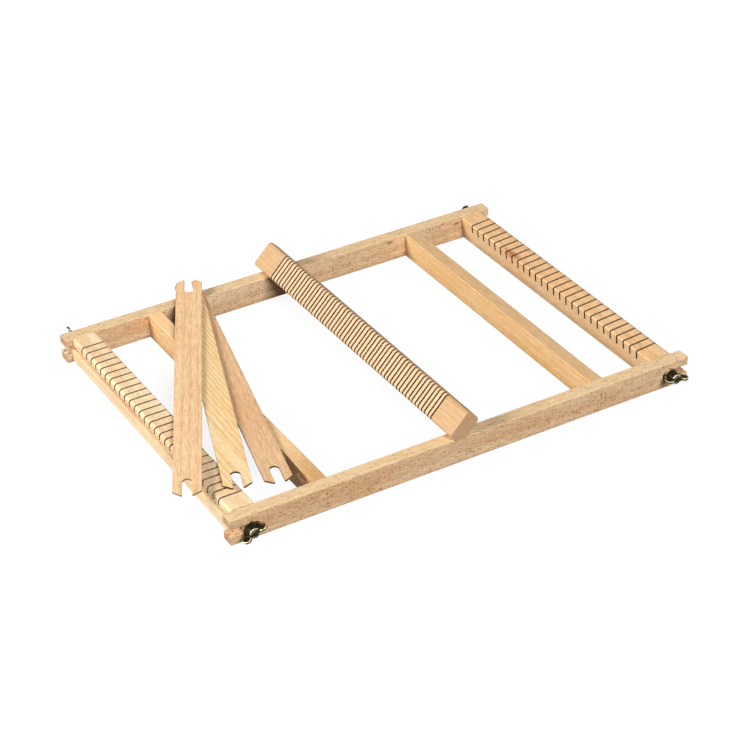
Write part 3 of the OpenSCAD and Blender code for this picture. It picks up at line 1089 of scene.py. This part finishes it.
@dataclass
class WarpBar:
    """A slotted bar at one end of the loom with its studs, washers and wing nuts."""

    side: Side
    stud_x: float
    tilt: float
    turns: dict[Rail, float]
    wood: WoodFinish
    slot: str
    grain_sample: float
    kerf: float = 1.6
    cut_depth: float = 8.0
    bar_top: float = 12.0
    stud_in_bar: float = 28.0
    thread_pitch: float = 1.0
    thread_depth: float = 0.55
    washer_diameter: float = 13.0
    nut_clearance: float = 0.06
    rim: float = 0.18
    rows_per_turn: int = 6
    stains: tuple[Knot, ...] = ()

    def centre(self) -> Vector:
        """Gives the middle of the bar's stud axis in millimetres."""
        return Vector((self.stud_x, LOOM.mid_y, LOOM.stud_z))

    def placing(self) -> Matrix:
        """Gives the bar's own frame, with its stud axis at the origin.

        Returns:
            The matrix from the bar's frame, with metres in and out.
        """
        place = Matrix.Translation(self.centre() * MM)
        if self.side is Side.LEFT:
            return place @ Matrix.Scale(-1, 4, (1, 0, 0))
        return place @ Matrix.Rotation(math.radians(-self.tilt), 4, "Y")

    def facing(self, rail: Rail, turn: float = 0.0) -> Matrix:
        """Gives the frame of hardware that points along +Z out through one rail.

        Args:
            rail: the rail that it passes.
            turn: its turn about its own axis in degrees.

        Returns:
            The matrix from the hardware's frame.
        """
        place = Matrix.Translation(self.centre() * MM)
        return (place @ Matrix.Rotation(math.radians(-90 * rail.value), 4, "X")
                @ Matrix.Rotation(math.radians(turn), 4, "Z"))

    def where(self, rail: Rail, turn: float = 0.0) -> dict[str, tuple[float, ...]]:
        """Gives the place and turn inputs of a hardware tree at one rail."""
        there = self.facing(rail, turn)
        return {"Place": tuple(there.translation), "Turn": tuple(there.to_euler("XYZ"))}

    def build(self, hardware: "Hardware") -> None:
        """Makes and dresses the bar and everything on its studs.

        Args:
            hardware: the trees, metals and casting that all the studs share.
        """
        side = self.side.value
        places = [(i - (LOOM.warp_cuts - 1) / 2) * LOOM.warp_pitch
                  for i in range(LOOM.warp_cuts)]
        cuts = SawCuts(places, self.kerf, self.bar_top, self.cut_depth, self.placing())
        grain = Grain(tuple(self.centre()), 90, 0, (20.0, -50.0), self.grain_sample,
                      self.stains)
        Board(f"warp_bar_{side}", f"{side}_warp_bar", self.slot, self.wood, grain,
              rim=self.rim, cuts=cuts).build()
        start = LOOM.inside_width / 2 - LOOM.bar_gap - self.stud_in_bar
        length = LOOM.nut_start + LOOM.hub_height + LOOM.stud_proud - start
        bore = LOOM.stud_diameter / 2
        rod = {"Start": start * MM, "Length": length * MM, "Radius": bore * MM,
               "Pitch": self.thread_pitch * MM, "Depth": self.thread_depth * MM,
               "Rows": int(length / self.thread_pitch * self.rows_per_turn)}
        ring = {"Inner radius": (bore + self.nut_clearance) * MM,
                "Outer radius": self.washer_diameter / 2 * MM,
                "Start": LOOM.washer_start * MM, "Thickness": LOOM.washer_thickness * MM}
        for rail in Rail:
            end = f"{side}_{rail.name.lower()}"
            turn = self.turns[rail] * -rail.value
            # each kind, how the real one is made, its tree, inputs, metal, body and slot
            rows = [("stud", "thread", hardware.thread, self.where(rail) | rod,
                     hardware.steel, f"{side}_warp_bar", "zinc_steel"),
                    ("washer", "pressed", hardware.washer, self.where(rail) | ring,
                     hardware.bronze, f"{side}_washers", "antique_brass"),
                    ("wing_nut", "cast", hardware.placed, self.where(rail, turn),
                     hardware.bronze, f"{end}_nut", "antique_brass")]
            for kind, way, tree, sizes, metal, body, slot in rows:
                source = hardware.casting if way == "cast" else None
                piece = grow(tree, f"{kind}_{end}_{way}", sizes | {"Material": metal}, source)
                hand_over(piece, metal, body, slot, f"{kind}_{end}")


@dataclass
class Hardware:
    """What the four studs share: trees, metals and the casting of the wing nuts."""

    voxel: float = 0.26
    smoothing: int = 7
    pattern_turn: float = 26.0
    spread: int = 8
    blur: int = 3
    rub_from: float = 0.03
    rub_over: float = 0.1
    thread: Tree = field(default_factory=thread_tree)
    washer: Tree = field(default_factory=washer_tree)
    placed: Tree = field(default_factory=placed_tree)
    steel: Material = field(default_factory=ZINC_STEEL.material)
    bronze: Material = field(default_factory=ANTIQUE_BRONZE.material)
    casting: Mesh = field(init=False)

    def build(self, left: WarpBar) -> None:
        """Makes the casting of the wing nuts.

        Args:
            left: the left warp bar, whose front nut is the pattern for it.
        """
        pattern = cad_copy("wing_nut_left_front", "wing_nut_pattern")
        pattern.data.transform(left.facing(Rail.FRONT, self.pattern_turn).inverted())
        remesh = pattern.modifiers.new("skin", "REMESH")
        remesh.mode = "VOXEL"
        remesh.voxel_size = self.voxel * MM
        blend = pattern.modifiers.new("blend", "SMOOTH")
        blend.factor = 0.5
        blend.iterations = self.smoothing
        pattern = settle(pattern)
        self.rub(pattern.data)
        pattern.data.shade_smooth()
        self.casting = pattern.data
        bpy.data.objects.remove(pattern)

    def rub(self, mesh: Mesh) -> None:
        """Marks the high spots of the casting, where handling rubs the plate bright.

        Args:
            mesh: the casting.
        """
        pairs = read(mesh.edges, "vertices", 2, int)
        points, normals = read(mesh.vertices, "co"), read(mesh.vertices, "normal")
        count = np.bincount(pairs.ravel(), minlength=len(points))[:, None]

        def around(values: np.ndarray) -> np.ndarray:
            """Averages each point's neighbours.

            Args:
                values: one row for each point.

            Returns:
                The averages, one row for each point.
            """
            total = np.zeros_like(values)
            np.add.at(total, pairs[:, 0], values[pairs[:, 1]])
            np.add.at(total, pairs[:, 1], values[pairs[:, 0]])
            return total / count

        wide = points
        for _ in range(self.spread):
            wide = around(wide)
        bulge = ((points - wide) * normals).sum(1, keepdims=True)
        for _ in range(self.blur):
            bulge = around(bulge)
        level = np.clip((bulge[:, 0] - self.rub_from * MM) / (self.rub_over * MM), 0.0, 1.0)
        mark(mesh, "worn", level, "POINT")


@dataclass
class HeddleBar:
    """The slotted bar that opens the shed when it is turned, laid across the rails."""

    thickness: float = 15.5
    chamfer: float = 6.5
    pitch: float = 10.16
    pair_gap: float = 4.7
    deep_slot: float = 8.5
    kerf: float = 1.5
    offset: float = -11.2
    shift: float = 2.6
    turn: float = 0.6

    def placing(self) -> Matrix:
        """Gives the bar's own frame, with its chamfered corner at the origin.

        Returns:
            The matrix from the bar's frame.
        """
        height = LOOM.rail_height + LOOM.rest_gap - self.chamfer / math.sqrt(2)
        place = Vector((self.offset, LOOM.mid_y + self.shift, height))
        return (Matrix.Translation(place * MM)
                @ Matrix.Rotation(math.radians(self.turn), 4, "Z")
                @ Matrix.Rotation(math.radians(-45), 4, "Y"))

    def build(self) -> None:
        """Makes and dresses the bar."""
        span = (LOOM.warp_cuts - 1) * self.pitch + self.pair_gap
        places = []
        for pair in range(LOOM.warp_cuts):
            deep = span / 2 - pair * self.pitch
            places += [deep, deep - self.pair_gap]
        cuts = SawCuts(places, self.kerf, self.thickness, self.deep_slot, self.placing())
        grain = Grain((self.offset, LOOM.mid_y, LOOM.rail_height), 90 + self.turn, 45,
                      (30.0, -24.0), 3300.0)
        Board("heddle_bar", "heddle", "beech", BEECH_HEDDLE, grain, ease=0.25, rim=0.25,
              cuts=cuts, ridge=0.35).build()


@dataclass(frozen=True)
class Stick:
    """One flat stick: how it lies in the fan, its length, and its wood."""

    name: str
    inset: float
    reach: float
    turn: float
    length: float
    slot: str
    wood: WoodFinish
    aslant: float
    burn_and_shade: float


@dataclass
class StickShuttles:
    """Three flat sticks laid in a fan over the far left corner, the lowest first."""

    crossbar_x: float = -136.2
    thickness: float = 2.0
    # each stick's last number is how dark its sides are: scorch and painted shade, darker on
    # the sticks that lie under others
    fan: tuple[Stick, ...] = (
        Stick("bottom", 42.2, 7.7, -12.93, 320.0, "beech", BEECH_STICK, 0.0, 0.85),
        Stick("middle", 46.7, 21.5, -19.05, 336.0, "ash", ASH, 17.0, 0.95),
        Stick("top", 48.5, 20.6, -26.47, 342.0, "beech", BEECH_PALE_STICK, 0.0, 0.6))

    def build(self) -> None:
        """Makes and dresses the three sticks."""
        for step, stick in enumerate(self.fan):
            along = math.radians(stick.turn - 90)
            middle = (self.crossbar_x + stick.inset + math.cos(along) * stick.length / 2,
                      LOOM.back_y + stick.reach + math.sin(along) * stick.length / 2,
                      LOOM.rail_height + self.thickness * (step + 0.5))
            grain = Grain(middle, stick.turn + 90 + stick.aslant, 0,
                          (35.0, -9.0 - 4 * step), 4000.0 + 700 * step)
            Board(f"shuttle_{stick.name}", f"{stick.name}_shuttle", stick.slot, stick.wood,
                  grain, ease=0.3, crisp_below=0.5, burn_and_shade=stick.burn_and_shade).build()


# ---- camera and light ----

WHITE = (1.0, 1.0, 1.0, 1.0)


@dataclass(frozen=True)
class Lamp:
    """A square soft lamp that hangs 6 m from the middle of the loom."""

    name: str
    comes_from: Point
    size: float
    watts: float
    distance: float = 6.0

    def build(self) -> None:
        """Hangs the lamp."""
        lamp = bpy.data.lights.new(self.name, "AREA")
        lamp.shape = "SQUARE"
        lamp.size = self.size
        lamp.energy = self.watts
        hung = link(self.name, lamp)
        aim = Vector(self.comes_from).normalized()
        place = Vector((0.0, LOOM.mid_y * MM, 0.0)) + aim * self.distance
        hung.matrix_world = (Matrix.Translation(place)
                             @ aim.to_track_quat("Z", "Y").to_matrix().to_4x4())


@dataclass
class Studio:
    """A camera, a soft lamp low in front, another at the left, and a pale floor.

    The camera turns by its azimuth, elevation and roll round a target in millimetres.
    """

    azimuth: float = -29.039
    elevation: float = 32.792
    roll: float = -2.109
    distance: float = 2010.487
    target: Point = (-1.818, 149.14, 0.0)
    lens: float = 108.65
    lamps: tuple[Lamp, ...] = (Lamp("key", (-0.06, -0.68, 0.54), 2.6, 362.0),
                               Lamp("side", (-0.88, 0.25, 0.42), 2.0, 388.0))
    fill: float = 0.03
    floor_size: float = 12.0
    floor_drop: float = 0.0002
    floor_share: float = 0.22
    floor_tone: str = "#4a4a4a"
    floor_seen: str = "#ececec"
    glow: float = 1.14

    def camera(self) -> None:
        """Makes the camera and sets it as the scene's own."""
        az, el = math.radians(self.azimuth), math.radians(self.elevation)
        back = Vector((math.sin(az) * math.cos(el), -math.cos(az) * math.cos(el),
                       math.sin(el)))
        right = (-back).cross(Vector((0, 0, 1))).normalized()
        up = right.cross(-back)
        turn = math.radians(self.roll)
        side = right * math.cos(turn) + up * math.sin(turn)
        above = -right * math.sin(turn) + up * math.cos(turn)
        lens = bpy.data.cameras.new("camera")
        lens.lens = self.lens
        lens.sensor_width = 36.0
        lens.clip_start, lens.clip_end = 0.05, 50.0
        camera = link("camera", lens)
        place = (Vector(self.target) + back * self.distance) * MM
        turned = Matrix((side, above, back)).transposed().to_4x4()
        camera.matrix_world = Matrix.Translation(place) @ turned
        bpy.context.scene.camera = camera

    def seen(self, tree: Tree) -> Socket:
        """Tells the rays that should see plain white from those that carry light.

        Args:
            tree: the node tree.

        Returns:
            One for camera, glossy and transmission rays.
        """
        seen = add(tree, "LightPath", out="Is Camera Ray")
        rays = seen.node.outputs
        for kind in ("Is Glossy Ray", "Is Transmission Ray"):
            seen = add(tree, "Math.MAXIMUM", [seen, rays[kind]])
        return seen

    def sky(self) -> None:
        """Lights the scene evenly and shows white behind it."""
        world = bpy.data.worlds.new("studio")
        world.use_nodes = True
        tree = world.node_tree
        tree.nodes.clear()
        level = add(tree, "MapRange", [self.seen(tree), 0.0, 1.0, self.fill, 1.0])
        light = add(tree, "Background", {"Color": WHITE, "Strength": level})
        add(tree, "OutputWorld", {"Surface": light})
        bpy.context.scene.world = world

    def floor(self) -> None:
        """Lays a white floor that keeps a faint shadow, just under the loom."""
        half = self.floor_size / 2
        corners = [(x * half, y * half, -self.floor_drop)
                   for x, y in ((-1, -1), (1, -1), (1, 1), (-1, 1))]
        mesh = bpy.data.meshes.new("floor")
        mesh.from_pydata(corners, [], [(0, 1, 2, 3)])
        floor = link("floor", mesh)
        paper, tree = new_material("White paper sweep")
        node = partial(add, tree)
        seen = self.seen(tree)
        tone = node("Mix", {
            0: seen, 6: srgb(self.floor_tone), 7: srgb(self.floor_seen)}, out=2,
            data_type="RGBA")
        matt = node("BsdfDiffuse", {"Color": tone})
        glow = node("Emission", {"Color": WHITE, "Strength": self.glow})
        share = node("Math.MULTIPLY", [seen, 1 - self.floor_share])
        node("OutputMaterial", {"Surface": node("MixShader", [share, matt, glow])})
        mesh.materials.append(paper)

    def build(self) -> None:
        """Makes the camera, the lights and the floor."""
        self.camera()
        self.sky()
        for lamp in self.lamps:
            lamp.build()
        self.floor()
        bpy.context.scene.view_settings.view_transform = "Standard"


def main() -> None:
    """Builds the loom's sub-assemblies in order."""
    logging.basicConfig(level=logging.INFO, format="%(name)s: %(message)s")
    Studio().build()
    RailFrame().build()
    left = WarpBar(Side.LEFT, -207.8, 0.0, {Rail.FRONT: 26.0, Rail.BACK: 116.0},
                   MAPLE, "maple", 2600.0)
    right = WarpBar(Side.RIGHT, 206.0, 4.5, {Rail.FRONT: -7.0, Rail.BACK: 33.0},
                    BEECH, "beech", 2900.0, rim=0.3,
                    stains=((68.0, 11.0, 12.0, 40.0, 12.0),))
    hardware = Hardware()
    hardware.build(left)
    left.build(hardware)
    right.build(hardware)
    HeddleBar().build()
    StickShuttles().build()


if __name__ == "__main__":
    main()
